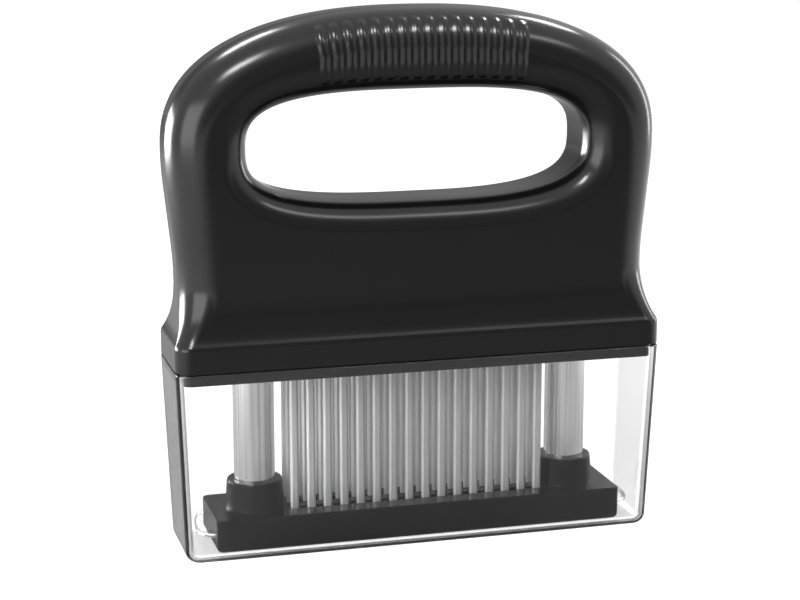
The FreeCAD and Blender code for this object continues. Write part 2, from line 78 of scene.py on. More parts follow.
# ---- sizes and colours that a user may change ----
def length(name, description, default):
    return FloatProperty(name=name, description=description, default=default, min=0.0,
                         unit="LENGTH", precision=5)


def colour(name, description, default):
    return FloatVectorProperty(name=name, description=description, default=default, size=3,
                               subtype="COLOR", min=0.0, max=1.0)


def share(name, description, default):
    return FloatProperty(name=name, description=description, default=default, min=0.0, max=1.0,
                         subtype="FACTOR")


class HandleSizes(bpy.types.PropertyGroup):
    """Shape of the loop handle."""
    half_depth: length("Half depth", "From the middle to the front of the body", 14.5 * mm)
    body_round: length("Body rounding", "Radius of the body's outer edges", 12 * mm)
    loop_round: length("Loop rounding", "Radius of the finger loop's edges", 9 * mm)
    waist_z: length("Waist height", "Height of the narrowest section", 83 * mm)
    waist_inset: length("Waist inset", "How far the cove draws the body in", 2.75 * mm)
    shoulder_z: length("Shoulder height", "Height of the widest point", 122 * mm)
    cove_sweep: FloatProperty(name="Cove sweep", description="How late the cove turns out",
                              default=3.6, min=1.5, max=6.0)
    flange_top_z: length("Flange height", "Top edge of the flange", 66 * mm)
    flange_corner: length("Flange corner", "Radius of the flange's upright corners", 5 * mm)
    crease_round: length("Crease rounding", "Softness of the flange's top edge", 0.7 * mm)
    wall: length("Wall", "Thickness of the moulded wall", 2.6 * mm)
    gap: length("Shadow gap", "Height of the gap between flange and cover", 0.4 * mm)
    gap_depth: length("Shadow gap depth", "How far the gap runs in", 1.7 * mm)


class RibSizes(bpy.types.PropertyGroup):
    """Ribs moulded over the grip."""
    count: IntProperty(name="Count", description="Ribs on each side of the grip", default=16, min=1)
    pitch: length("Pitch", "From one rib to the next", 4 * mm)
    width: length("Width", "Width of a rib at its foot", 3.3 * mm)
    height: length("Height", "How far a rib stands out", 0.52 * mm)


class GuardSizes(bpy.types.PropertyGroup):
    """Sliding guard with its two bosses."""
    top_z: length("Top height", "Height of the guard's top face", 12.7 * mm)
    corner: length("Corner", "Radius of the upright corners", 2 * mm)
    low_round: length("Lower rounding", "Radius of the lower edges", 1.6 * mm)
    top_round: length("Upper rounding", "Radius of the upper edges", 0.55 * mm)
    boss_low_radius: length("Boss foot", "Radius at a boss's foot", 9.1 * mm)
    boss_high_radius: length("Boss top", "Radius at a boss's top", 8.4 * mm)
    boss_rim: length("Boss rim", "Height of the bevel round a boss's rim", 0.45 * mm)
    slot_width: length("Slot width", "Width of a blade slot", 2.0 * mm)
    slot_length: length("Slot length", "Length of a blade slot", 80.1 * mm)
    slot_spacing: length("Slot spacing", "From one slot to the next", 6.2 * mm)


class CoverSizes(bpy.types.PropertyGroup):
    """Clear slip-on cover."""
    wall: length("Wall", "Thickness of the walls", 1.8 * mm)
    floor: length("Floor", "Thickness of the floor", 1.5 * mm)
    end_draft: length("End draft", "How far each end leans in", 2.2 * mm)
    side_draft: length("Side draft", "How far the front leans in", 1.75 * mm)
    corner: length("Corner", "Radius of the upright corners", 4.5 * mm)
    low_round: length("Lower rounding", "Radius of the lower edges", 3.2 * mm)


class Finishes(bpy.types.PropertyGroup):
    """Colours and gloss of the materials."""
    handle: colour("Handle", "Moulded handle", (0.0045, 0.0045, 0.0050))
    handle_roughness: share("Handle roughness", "Roughness of the handle", 0.19)
    guard: colour("Guard", "Guard and bosses", (0.003, 0.003, 0.003))
    block: colour("Blade block", "Blade block and clamp plate", (0.012, 0.012, 0.012))
    blade: colour("Blades", "Ground blade steel", (0.64, 0.64, 0.64))
    chrome: colour("Posts", "Polished posts", (0.96, 0.96, 0.96))
    clear: colour("Clear plastic", "Tint of the clear plastic", (0.988, 0.988, 0.988))
    nylon: colour("Bushes", "Natural nylon", (0.72, 0.71, 0.66))
    zinc: colour("Screws", "Bright zinc", (0.58, 0.58, 0.60))


class StageSettings(bpy.types.PropertyGroup):
    """Floor, light and camera."""
    floor: colour("Floor", "Colour of the floor", (0.30, 0.30, 0.30))
    lamp_level: FloatProperty(name="Lamp level", description="Brightness of the softboxes",
                              default=1.0, min=0.0)
    ambient: share("Ambient", "Brightness of the room as matt surfaces see it", 0.35)
    room_front: share("Room front", "Brightness of the room's front and back as gloss sees it",
                      0.32)
    lens: FloatProperty(name="Lens", description="Focal length in millimetres", default=89.48,
                        min=1)
    camera_at: FloatVectorProperty(name="Camera", description="Place of the camera", size=3,
                                   default=(-0.1617, -0.5687, 0.2021), subtype="TRANSLATION")
    camera_turn: FloatVectorProperty(name="Camera turn", description="Rotation of the camera",
                                     size=3, subtype="EULER",
                                     default=(radians(77.7), 0.0, radians(-15.53)))


SETTINGS = {
    "tenderizer_handle": HandleSizes,
    "tenderizer_ribs": RibSizes,
    "tenderizer_guard": GuardSizes,
    "tenderizer_cover": CoverSizes,
    "tenderizer_finish": Finishes,
    "tenderizer_stage": StageSettings,
}


# ---- skins: patches of surface with their own exact normals ----
PLACE_GRID = 2e6       # steps in a metre: corners are shared within half a micrometre
NORMAL_GRID = 50       # steps in a unit of a normal
EMPTY_AREA = 1e-14     # square metres below which a face is left out


class Skin:
    """Surface of one piece, made of patches that share corners where they agree."""

    def __init__(self):
        self.places = {}
        self.points = []
        self.normals = []
        self.faces = []

    def corner(self, point, normal):
        """Number of the corner with this place and normal."""
        key = (*(round(c * PLACE_GRID) for c in point), *(round(c * NORMAL_GRID) for c in normal))
        if key not in self.places:
            self.places[key] = len(self.points)
            self.points.append(Vector(point))
            self.normals.append(Vector(normal))
        return self.places[key]

    def face(self, corners):
        """Polygon turned to the side that its corners' normals point to."""
        ring = [c for i, c in enumerate(corners) if c != corners[i - 1]]
        if len(ring) < 3:
            return
        a, b, c = (self.points[ring[i]] for i in (0, 1, 2))
        across = (b - a).cross(c - a)
        if len(ring) == 4:
            across = (c - a).cross(self.points[ring[3]] - b)
        if across.length < EMPTY_AREA:
            return
        lean = sum((self.normals[i] for i in ring), Vector((0, 0, 0)))
        self.faces.append(ring if across.dot(lean) > 0 else ring[::-1])

    def patch(self, rows, closed=False):
        """Quads between rows of (point, normal)."""
        grid = [[self.corner(*entry) for entry in row] for row in rows]
        for low, high in zip(grid, grid[1:]):
            for i in range(0 if closed else 1, len(low)):
                self.face([low[i - 1], low[i], high[i], high[i - 1]])

    def fill(self, loops, normal):
        """Flat face inside the first loop and outside the others."""
        corners = [self.corner(p, normal) for loop in loops for p in loop]
        for triangle in tessellate_polygon([[Vector(p) for p in loop] for loop in loops]):
            self.face([corners[i] for i in triangle])

    def make(self, name, body, material, nodes=()):
        """Object that rides with a body and replaces the CAD nodes."""
        mesh = bpy.data.meshes.new(name)
        mesh.from_pydata(self.points, [], self.faces)
        mesh.polygons.foreach_set("use_smooth", [True] * len(mesh.polygons))
        mesh.normals_split_custom_set_from_vertices([n.normalized() for n in self.normals])
        mesh.materials.append(material)
        piece = bpy.data.objects.new(name, mesh)
        bpy.context.scene.collection.objects.link(piece)
        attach(piece, body)
        if nodes:
            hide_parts(*nodes)
        return piece


def outline_path(stops, steps=5):
    """Sections and headings through stops (half x, half y, corner, z, rounding if any)."""
    path = []
    last = len(stops) - 1
    places = [Vector(stop[:4]) for stop in stops]

    def heading(i):
        way = places[i + 1] - places[i]
        return way / hypot(max(way[0], way[1], key=abs), way[3])

    for i, stop in enumerate(stops):
        before = heading(i - 1) if i else heading(0)
        after = heading(i) if i < last else before
        reach = stop[4] if len(stop) > 4 else 0.0
        if not reach:
            path += [(places[i], before), (places[i], after)]
            continue
        start = places[i] - before * reach
        for k in range(steps + 1):
            s, c = sin(pi / 2 * k / steps), cos(pi / 2 * k / steps)
            path.append((start + before * (reach * s) + after * (reach * (1 - c)),
                         before * c + after * s))
    return path


def section_row(section, heading, at=(0.0, 0.0), arc_steps=8):
    """Ring of (point, normal) round a rounded rectangle that moves along heading."""
    half_x, half_y, corner, z = section
    grow_x, grow_y, grow_corner, rise = heading
    row = []
    for quarter, (side_x, side_y) in enumerate(((1, 1), (-1, 1), (-1, -1), (1, -1))):
        for i in range(arc_steps + 1):
            turn = (quarter + i / arc_steps) * pi / 2
            c, s = cos(turn), sin(turn)
            point = Vector((at[0] + side_x * (half_x - corner) + corner * c,
                            at[1] + side_y * (half_y - corner) + corner * s, z))
            out = side_x * (grow_x - grow_corner) * c + side_y * (grow_y - grow_corner) * s
            normal = Vector((c * rise, s * rise, -out - grow_corner))
            row.append((point, normal.normalized()))
    return row


def loft(skin, path, at=(0.0, 0.0), arc_steps=8):
    """Surface along a path of sections. Returns its first and last loops of points."""
    rows = [section_row(section, heading, at, arc_steps) for section, heading in path]
    skin.patch(rows, closed=True)
    return [[point for point, _ in rows[i]] for i in (0, -1)]


def turned(skin, stops, x=0.0, arc_steps=16):
    """Surface turned about an upright axis through stops (radius, z, rounding if any)."""
    path = outline_path([(r, r, r, z, *rounding) for r, z, *rounding in stops])
    return loft(skin, path, (x, 0.0), arc_steps)


def tube(skin, points, radius, sides=12):
    """Round wire along points, with flat ends."""
    rows = []
    last = len(points) - 1
    out = None
    for i, point in enumerate(points):
        along = (points[min(i + 1, last)] - points[max(i - 1, 0)]).normalized()
        out = along.orthogonal() if out is None else out - along * out.dot(along)
        out.normalize()
        up = along.cross(out)
        ring = []
        for k in range(sides):
            a = 2 * pi * k / sides
            normal = out * cos(a) + up * sin(a)
            ring.append((point + normal * radius, normal))
        rows.append(ring)
        if i in (0, last):
            skin.fill([[p for p, _ in ring]], along if i else -along)
    skin.patch(rows, closed=True)


# ---- shader groups ----
def new_group(name, extra_inputs):
    """Empty group that gives colour, roughness and height, with its input and output nodes."""
    group = bpy.data.node_groups.new(name, "ShaderNodeTree")
    shared_inputs = [("Colour", "NodeSocketColor", (0.5, 0.5, 0.5, 1)),
                     ("Roughness", "NodeSocketFloat", 0.35)]
    for socket_name, kind, default in shared_inputs + extra_inputs:
        socket = group.interface.new_socket(socket_name, in_out="INPUT", socket_type=kind)
        socket.default_value = default
    for socket_name, kind in (("Colour", "NodeSocketColor"), ("Roughness", "NodeSocketFloat"),
                              ("Height", "NodeSocketFloat")):
        group.interface.new_socket(socket_name, in_out="OUTPUT", socket_type=kind)
    return group, group.nodes.new("NodeGroupInput"), group.nodes.new("NodeGroupOutput")


def add_node(tree, kind, **values):
    """Node with some of its settings and input values given by name."""
    node = tree.nodes.new(kind)
    for name, value in values.items():
        if hasattr(node, name):
            setattr(node, name, value)
        else:
            node.inputs[name.replace("_", " ")].default_value = value
    return node


def worked(tree, operation, *inputs, kind="ShaderNodeMath"):
    """Math node whose inputs are sockets or plain values."""
    node = add_node(tree, kind, operation=operation)
    for place, value in zip(node.inputs, inputs):
        if isinstance(value, bpy.types.NodeSocket):
            tree.links.new(value, place)
        else:
            place.default_value = value
    return node


def maths(tree, operation, *inputs):
    """Result of a math node."""
    return worked(tree, operation, *inputs).outputs[0]


def vector_maths(tree, operation, *inputs):
    """Result of a vector math node."""
    return worked(tree, operation, *inputs, kind="ShaderNodeVectorMath").outputs[0]


def faded(tree, value, near, far):
    """Smooth step of a value from one (value, level) pair to another."""
    fade = add_node(tree, "ShaderNodeMapRange", interpolation_type="SMOOTHSTEP")
    for socket, number in zip(("From Min", "To Min", "From Max", "To Max"), (*near, *far)):
        fade.inputs[socket].default_value = number
    tree.links.new(value, fade.inputs["Value"])
    return fade.outputs["Result"]


def noise(tree, vector, **values):
    """Noise texture on a vector."""
    texture = add_node(tree, "ShaderNodeTexNoise", **values)
    tree.links.new(vector, texture.inputs["Vector"])
    return texture


def give_detail(group, given, result, gain, height):
    """Ends a group: colour and roughness times a gain, and a height for the bump."""
    tint = vector_maths(group, "SCALE", given.outputs["Colour"])
    group.links.new(gain, tint.node.inputs["Scale"])
    group.links.new(tint, result.inputs["Colour"])
    rough = maths(group, "MULTIPLY", given.outputs["Roughness"], gain)
    group.links.new(rough, result.inputs["Roughness"])
    group.links.new(height, result.inputs["Height"])
    return group


def moulded_group():
    """Fine moulding grain with slow colour drift and faint rub marks."""
    group, given, result = new_group("Moulded Plastic", [
        ("Grain Size", "NodeSocketFloat", 0.4 * mm),
        ("Drift", "NodeSocketFloat", 0.15)])
    link = group.links.new
    place = add_node(group, "ShaderNodeTexCoord").outputs["Object"]
    grain = noise(group, place, Detail=3.0, Roughness=0.6)
    link(maths(group, "DIVIDE", 1.0, given.outputs["Grain Size"]), grain.inputs["Scale"])
    cloud = noise(group, place, Scale=22.0, Detail=4.0, Roughness=0.55)
    gain = add_node(group, "ShaderNodeMapRange", From_Min=0.3, From_Max=0.7)
    link(cloud.outputs["Fac"], gain.inputs["Value"])
    link(maths(group, "SUBTRACT", 1.0, given.outputs["Drift"]), gain.inputs["To Min"])
    link(maths(group, "ADD", 1.0, given.outputs["Drift"]), gain.inputs["To Max"])
    return give_detail(group, given, result, gain.outputs[0], grain.outputs["Fac"])


def ground_group():
    """Fine grinding lines drawn out along one direction; at a high contrast they become painted
    light and dark stripes of reflection.
    """
    group, given, result = new_group("Ground Metal", [
        ("Line Stretch", "NodeSocketVector", (1.0, 1.0, 0.05)),
        ("Line Scale", "NodeSocketFloat", 2500.0),
        ("Contrast", "NodeSocketFloat", 0.2)])
    place = add_node(group, "ShaderNodeTexCoord").outputs["Object"]
    drawn = vector_maths(group, "MULTIPLY", place, given.outputs["Line Stretch"])
    lines = noise(group, drawn, Detail=3.0, Roughness=0.65)
    group.links.new(given.outputs["Line Scale"], lines.inputs["Scale"])
    centred = maths(group, "SUBTRACT", lines.outputs["Fac"], 0.5)
    gain = maths(group, "MULTIPLY_ADD", centred, given.outputs["Contrast"], 1.0)
    return give_detail(group, given, result, gain, lines.outputs["Fac"])


# ---- materials ----
def group_named(name, builder):
    """Shader group of this name, built when it is first asked for."""
    return bpy.data.node_groups.get(name) or builder()


def surface(name, group, values, bump_strength, bump_distance, **shader_values):
    """Material whose colour, roughness and bump come from a group."""
    found = bpy.data.materials.get("tenderizer_" + name)
    if found:
        return found
    material = bpy.data.materials.new("tenderizer_" + name)
    material.use_nodes = True
    tree = material.node_tree
    shader = tree.nodes["Principled BSDF"]
    for socket, value in shader_values.items():
        shader.inputs[socket.replace("_", " ")].default_value = value
    detail = tree.nodes.new("ShaderNodeGroup")
    detail.node_tree = group
    for socket, value in values.items():
        detail.inputs[socket].default_value = value
    bump = add_node(tree, "ShaderNodeBump", Strength=bump_strength, Distance=bump_distance)
    tree.links.new(detail.outputs["Colour"], shader.inputs["Base Color"])
    tree.links.new(detail.outputs["Roughness"], shader.inputs["Roughness"])
    tree.links.new(detail.outputs["Height"], bump.inputs["Height"])
    tree.links.new(bump.outputs["Normal"], shader.inputs["Normal"])
    return material


def finishes():
    """The colours and gloss that the user has set."""
    return bpy.context.scene.tenderizer_finish


def plastic(name, tint, roughness, grain, bump, specular=0.5, drift=0.12):
    """Moulded plastic with a grain of this size."""
    return surface(name, group_named("Moulded Plastic", moulded_group),
                   {"Colour": (*tint, 1), "Roughness": roughness, "Grain Size": grain,
                    "Drift": drift},
                   bump, 0.02 * mm, IOR=1.5, Specular_IOR_Level=specular)


def metal(name, tint, roughness, stretch, scale, contrast, bump, depth=0.005 * mm):
    """Ground metal with lines drawn out by stretch."""
    return surface(name, group_named("Ground Metal", ground_group),
                   {"Colour": (*tint, 1), "Roughness": roughness, "Line Stretch": stretch,
                    "Line Scale": scale, "Contrast": contrast},
                   bump, depth, Metallic=1.0)


def handle_material():
    return plastic("handle_black", finishes().handle, finishes().handle_roughness,
                   grain=0.35 * mm, bump=0.1)


def guard_material():
    return plastic("guard_black", finishes().guard, 0.2, grain=0.3 * mm, bump=0.015,
                   specular=0.25)


def block_material():
    return plastic("block_black", finishes().block, 0.4, grain=0.3 * mm, bump=0.1, specular=0.15)


def blade_material():
    return metal("blade_steel", finishes().blade, 0.6, stretch=(1.0, 1.0, 0.03), scale=2600.0,
                 contrast=0.1, bump=0.02)


def chrome_material():
    # Painted reflections: the high contrast paints upright light and dark stripes into the posts'
    # colour; the bump along the lines stays a relief.
    return metal("post_chrome", finishes().chrome, 0.05, stretch=(1.0, 1.0, 0.004), scale=1200.0,
                 contrast=1.7, bump=1.0, depth=0.2 * mm)


def zinc_material():
    return metal("screw_zinc", finishes().zinc, 0.32, stretch=(1.0, 1.0, 1.0), scale=1800.0,
                 contrast=0.3, bump=0.1)


def nylon_material():
    return plastic("bush_nylon", finishes().nylon, 0.4, grain=0.3 * mm, bump=0.1, drift=0.04)


def clear_material(name="clear_plastic", edge=0.08, near=0.45, far=0.88):
    """Clear plastic whose colour is painted darker, down to edge, as its facing goes from near to
    far, edge-on: painted shade for the dark outlines that refraction shows.
    """
    found = bpy.data.materials.get("tenderizer_" + name)
    if found:
        return found
    material = surface(name, group_named("Moulded Plastic", moulded_group),
                       {"Colour": (*finishes().clear, 1), "Roughness": 0.0,
                        "Grain Size": 6 * mm, "Drift": 0.01},
                       bump_strength=0.02, bump_distance=0.02 * mm,
                       IOR=1.49, Transmission_Weight=1.0)
    tree = material.node_tree
    shader, detail = tree.nodes["Principled BSDF"], tree.nodes["Group"]
    # Painted shade: the colour darkens towards grazing view, standing in for the dark surroundings
    # seen through the edges.
    facing = add_node(tree, "ShaderNodeLayerWeight", Blend=0.5)
    painted_edge_shade = faded(tree, facing.outputs["Facing"], (near, 0.0), (far, 1.0))
    tint = add_node(tree, "ShaderNodeMix", data_type="RGBA")
    tree.links.new(painted_edge_shade, tint.inputs["Factor"])
    tree.links.new(detail.outputs["Colour"], tint.inputs[6])
    tint.inputs[7].default_value = (edge, edge, edge, 1)
    tree.links.new(tint.outputs[2], shader.inputs["Base Color"])
    return material


def dress(material, *nodes):
    """Gives CAD nodes that keep their own shape a finished material."""
    for name in nodes:
        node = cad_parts[name]
        if not node.material_slots:
            node.data.materials.append(material)
        for place in node.material_slots:
            place.link = "OBJECT"
            place.material = material


# ---- handle ----
ARCH = (75.3 * mm, 40.5 * mm, 2.37)      # half width, half height and roundness of an oval
LOOP = (51.8 * mm, 16.15 * mm, 3.05)
LOOP_Z = 122.1 * mm                      # height of the loop's middle
BEND = 10 * mm                           # length over which a side turns upright
CAVITY_ROOF_Z = 99.95 * mm
WELL_X, WELL_RADIUS, WELL_ROOF_Z = 49.6 * mm, 7.8 * mm, 104.4 * mm      # room over each post


def smooth(t):
    """Smooth step from 0 to 1."""
    return t * t * (3 - 2 * t)


def oval_entry(oval, middle_z, x, z):
    """Point (x, z) of an oval with the unit vector that leads away from its centre."""
    half_width, half_height, power = oval
    away = Vector((copysign(abs(x / half_width) ** (power - 1) / half_width, x), 0.0,
                   copysign(abs(z / half_height) ** (power - 1) / half_height, z)))
    return Vector((x, 0.0, middle_z + z)), away.normalized()


def oval_entries(oval, middle_z, turn, count):
    """Evenly spaced entries of an oval's outline from angle 0 through turn."""
    half_width, half_height, power = oval
    fine = 40 * count                    # short chords that the spacing is measured along
    trace = []
    for i in range(fine + 1):
        c, s = cos(turn * i / fine), sin(turn * i / fine)
        trace.append((copysign(half_width * abs(c) ** (2 / power), c),
                      copysign(half_height * abs(s) ** (2 / power), s)))
    travel = [0.0]
    for (x0, z0), (x1, z1) in zip(trace, trace[1:]):
        travel.append(travel[-1] + hypot(x1 - x0, z1 - z0))
    entries, k = [], 0
    for i in range(count + 1):
        goal = travel[-1] * i / count
        while k < fine - 1 and travel[k + 1] < goal:
            k += 1
        t = (goal - travel[k]) / (travel[k + 1] - travel[k])
        x = trace[k][0] + (trace[k + 1][0] - trace[k][0]) * t
        z = trace[k][1] + (trace[k + 1][1] - trace[k][1]) * t
        entries.append(oval_entry(oval, middle_z, x, z))
    return entries


def side_entries(sizes, count=14):
    """Entries up the right side from the waist to the shoulder, upright at both ends."""
    foot_x = flange_x - sizes.waist_inset
    rise = sizes.shoulder_z - sizes.waist_z
    lean = (ARCH[0] - foot_x) / (rise - BEND)
    entries = []
    for i in range(count):
        u = rise * i / count
        low, high = min(u, BEND), max(0.0, u - (rise - BEND))
        x = foot_x + lean * (low ** 2 / (2 * BEND) + max(0.0, u - BEND) - high ** 2 / (2 * BEND))
        slope = lean * (low - high) / BEND
        entries.append((Vector((x, 0.0, sizes.waist_z + u)), Vector((1, 0, -slope)).normalized()))
    return entries


def edge_rows(entries, rounding, half_depth, steps):
    """Rows of an outline's edge from the front face round to the back face."""
    rows = []
    for side in (-1, 1):
        for i in range(steps + 1):
            a = pi / 2 * (i / steps - (side < 0))
            row = []
            for point, away in entries:
                place = point - away * (rounding * (1 - cos(a)))
                place.y = side * (half_depth - rounding) + rounding * sin(a)
                row.append((place, away * cos(a) + Vector((0, sin(a), 0))))
            rows.append(row)
    return rows


def cove_path(sizes, steps=18):
    """Sections from the cavity's roof down and out under the flange, then up to the waist."""
    height = sizes.waist_z - sizes.flange_top_z
    half_x, half_y, corner = flange_x, flange_high.y, sizes.flange_corner
    play, socket_corner, edge = 0.1 * mm, 2.8 * mm, 0.2 * mm
    nudge = 0.001 * mm                   # step over which a heading is measured

    def section(drop):
        t = drop / height
        drawn_in = 1 - t ** sizes.cove_sweep
        turn = sizes.body_round + (corner - sizes.body_round) * smooth(t)
        return Vector((half_x - sizes.waist_inset * drawn_in,
                       half_y - (half_y - sizes.half_depth) * drawn_in, turn, sizes.waist_z - drop))

    def entry(drop):
        way = section(max(drop - nudge, 0.0)) - section(drop + nudge)
        return section(drop), way / way.length

    first = height - 2 * sizes.crease_round
    socket = (block_high.x + play, block_high.y + play, socket_corner)
    cavity = (half_x - sizes.waist_inset - sizes.wall, sizes.half_depth - sizes.wall,
              sizes.body_round - sizes.wall)
    gap = [size - sizes.gap_depth for size in (half_x, half_y, corner)]
    gap_top = flange_low.z + sizes.gap
    path = outline_path([
        (*cavity, CAVITY_ROOF_Z),
        (*cavity, sizes.flange_top_z),
        (*socket, sizes.flange_top_z),
        (*socket, flange_low.z, edge),
        (*gap, flange_low.z),
        (*gap, gap_top),
        (half_x, half_y, corner, gap_top, edge),
        (half_x, half_y, corner, sizes.flange_top_z, sizes.crease_round),
        tuple(section(first)),
    ])
    return path + [entry(first * (1 - i / steps)) for i in range(steps + 1)]


class TENDERIZER_OT_handle(bpy.types.Operator):
    """Build the loop handle as one smooth moulding"""
    bl_idname = "tenderizer.handle"
    bl_label = "Handle"

    def execute(self, context):
        sizes = context.scene.tenderizer_handle
        steps, arch_steps, loop_steps = 12, 120, 168
        skin = Skin()
        right = side_entries(sizes)
        left = [(Vector((-p.x, 0, p.z)), Vector((-n.x, 0, n.z))) for p, n in reversed(right)]
        arch = oval_entries(ARCH, sizes.shoulder_z, pi, arch_steps)
        outer = edge_rows(right + arch + left, sizes.body_round, sizes.half_depth, steps)
        loop = oval_entries(LOOP, LOOP_Z, 2 * pi, loop_steps)[:-1]
        hole = [(p, -away) for p, away in loop]
        inner = edge_rows(hole, sizes.loop_round, sizes.half_depth, steps)
        skin.patch(outer)
        skin.patch(inner, closed=True)
        for end, y in ((0, -1), (-1, 1)):
            skin.fill([[p for p, _ in outer[end]], [p for p, _ in inner[end]]], Vector((0, y, 0)))
        roof, _ = loft(skin, cove_path(sizes), arc_steps=steps)
        mouths = [roof]
        for x in (-WELL_X, WELL_X):
            well_roof, mouth = turned(skin, [(WELL_RADIUS, WELL_ROOF_Z),
                                             (WELL_RADIUS, CAVITY_ROOF_Z)], x)
            skin.fill([well_roof], DOWN)
            mouths.append(mouth)
        skin.fill(mouths, DOWN)
        skin.make("handle_body", "handle", handle_material(), ["handle_shell"])
        return {"FINISHED"}


class TENDERIZER_OT_ribs(bpy.types.Operator):
    """Mould the rounded ribs over the front and the back of the grip"""
    bl_idname = "tenderizer.ribs"
    bl_label = "Grip ribs"

    def execute(self, context):
        sizes = context.scene.tenderizer_handle
        ribs = context.scene.tenderizer_ribs
        skin = Skin()
        across, top_steps, low_steps = 10, 13, 11
        roundness, sunk, start_depth = 1.4, 0.35 * mm, 0.03 * mm
        fade_turn = radians(12)                  # turn over which a rib's end fades out
        top_turn, low_turn = radians(41) + fade_turn, radians(28) + fade_turn

        def edge(oval, middle_z, x, rounding, a, outside):
            """Place and normal on an oval's rounding near x, turned by a from the front."""
            def at(px):
                z = oval[1] * (1 - abs(px / oval[0]) ** oval[2]) ** (1 / oval[2])
                return oval_entry(oval, middle_z, px, z)
            _, away = at(x)
            point, away = at(x + away.x * rounding * cos(a) * outside)
            away = away * outside
            inset = rounding * (1 - sin(a))
            place = point - away * inset
            place.y = -(sizes.half_depth - rounding) - rounding * cos(a)
            return place, away * sin(a) + Vector((0, -cos(a), 0))

        def track(x):
            """(place, normal, fade) over the grip at x, from the top rounding to the loop's."""
            entries = []
            for i in range(top_steps + 1):
                a = top_turn * (1 - i / top_steps)
                entries.append((*edge(ARCH, sizes.shoulder_z, x, sizes.body_round, a, 1),
                                min(1.0, (top_turn - a) / fade_turn)))
            for i in range(low_steps + 1):
                a = low_turn * i / low_steps
                entries.append((*edge(LOOP, LOOP_Z, x, sizes.loop_round, a, -1),
                                min(1.0, (low_turn - a) / fade_turn)))
            return entries

        for i in range(ribs.count):
            middle = (i - (ribs.count - 1) / 2) * ribs.pitch
            for side in (1, -1):
                columns = []
                for k in range(across + 1):
                    w = 2 * k / across - 1
                    shape = cos(pi / 2 * w) ** roundness
                    column = []
                    for place, normal, fade in track(middle + w * ribs.width / 2):
                        lift = ribs.height * shape * smooth(fade) - start_depth
                        place, low = place + normal * lift, place - normal * sunk
                        for vector in (place, low, normal):
                            vector.y *= side
                        column.append((place, low, normal))
                    columns.append(column)
                self.close(skin, columns)
        skin.make("grip_ribs", "handle", handle_material())
        return {"FINISHED"}

    @staticmethod
    def close(skin, columns):
        """Rounded top, sunk underside and edges of one rib."""
        count, rows = len(columns), len(columns[0])
        top = []
        for k in range(count):
            row = []
            for j in range(rows):
                right, left = columns[min(k + 1, count - 1)][j][0], columns[max(k - 1, 0)][j][0]
                ahead, back = columns[k][min(j + 1, rows - 1)][0], columns[k][max(j - 1, 0)][0]
                normal = (right - left).cross(ahead - back).normalized()
                if normal.dot(columns[k][j][2]) < 0:
                    normal = -normal
                row.append((columns[k][j][0], normal))
            top.append(row)
        under = [[(low, -normal) for _, low, normal in column] for column in columns]
        skin.patch(top)
        skin.patch(under)
        for k in (0, count - 1):
            out = (columns[k][0][0] - columns[count // 2][0][0]).normalized()
            skin.patch([[(entry[level], out) for entry in columns[k]] for level in (0, 1)])
        for j in (0, rows - 1):
            out = (columns[0][j][0] - columns[0][rows // 2][0]).normalized()
            skin.patch([[(column[j][level], out) for column in columns] for level in (0, 1)])


# ---- guard, posts, end loops, springs and blades ----
SCREW_HOLE = 1.65 * mm                   # radius of the holes up through guard and posts


class TENDERIZER_OT_guard(bpy.types.Operator):
    """Build the sliding guard with its slots and bosses"""
    bl_idname = "tenderizer.guard"
    bl_label = "Guard"

    def execute(self, context):
        sizes = context.scene.tenderizer_guard
        skin = Skin()
        half_x, half_y = guard_high.x, guard_high.y
        low_z, top_z, boss_z = guard_low.z, sizes.top_z, guard_high.z
        low, top, corner = sizes.low_round, sizes.top_round, sizes.corner
        outside = outline_path([
            (half_x - low, half_y - low, corner - low, low_z),
            (half_x, half_y, corner, low_z, low),
            (half_x, half_y, corner, top_z, top),
            (half_x - top, half_y - top, corner - top, top_z),
        ])
        under, over = loft(skin, outside)
        over_holes, under_holes = [], []
        slot_corner, lip = 0.4 * mm, 0.2 * mm
        slot = (sizes.slot_length / 2, sizes.slot_width / 2, slot_corner)
        wide = tuple(s + lip for s in slot)
        for row in (-1, 0, 1):
            path = outline_path([(*wide, top_z), (*slot, top_z, lip), (*slot, low_z, lip),
                                 (*wide, low_z)])
            first, last = loft(skin, path, (0.0, row * sizes.slot_spacing), arc_steps=3)
            over_holes.append(first)
            under_holes.append(last)
        bore, bevel = post_radius + 0.05 * mm, sizes.boss_rim
        flare, flare_rise = 0.2 * mm, 0.32 * mm
        head_radius, head_z, mouth_radius = 3.6 * mm, low_z + 2.5 * mm, 3.9 * mm
        for x in (-post_x, post_x):
            boss_foot, _ = turned(skin, [
                (sizes.boss_low_radius + flare, top_z),
                (sizes.boss_low_radius, top_z + flare_rise, 0.1 * mm),
                (sizes.boss_high_radius, boss_z - bevel, 0.15 * mm),
                (sizes.boss_high_radius - 0.7 * bevel, boss_z, 0.15 * mm),
                (bore, boss_z, 0.3 * mm),
                (bore, post_low.z),
                (SCREW_HOLE, post_low.z),
                (SCREW_HOLE, head_z),
            ], x)
            over_holes.append(boss_foot)
            _, screw_mouth = turned(skin, [
                (SCREW_HOLE, head_z),
                (head_radius, head_z),
                (head_radius, low_z, 0.2 * mm),
                (mouth_radius, low_z),
            ], x)
            under_holes.append(screw_mouth)
        skin.fill([over] + over_holes, UP)
        skin.fill([under] + under_holes, DOWN)
        skin.make("guard_body", "guard", guard_material(), ["guard_plate"])
        return {"FINISHED"}


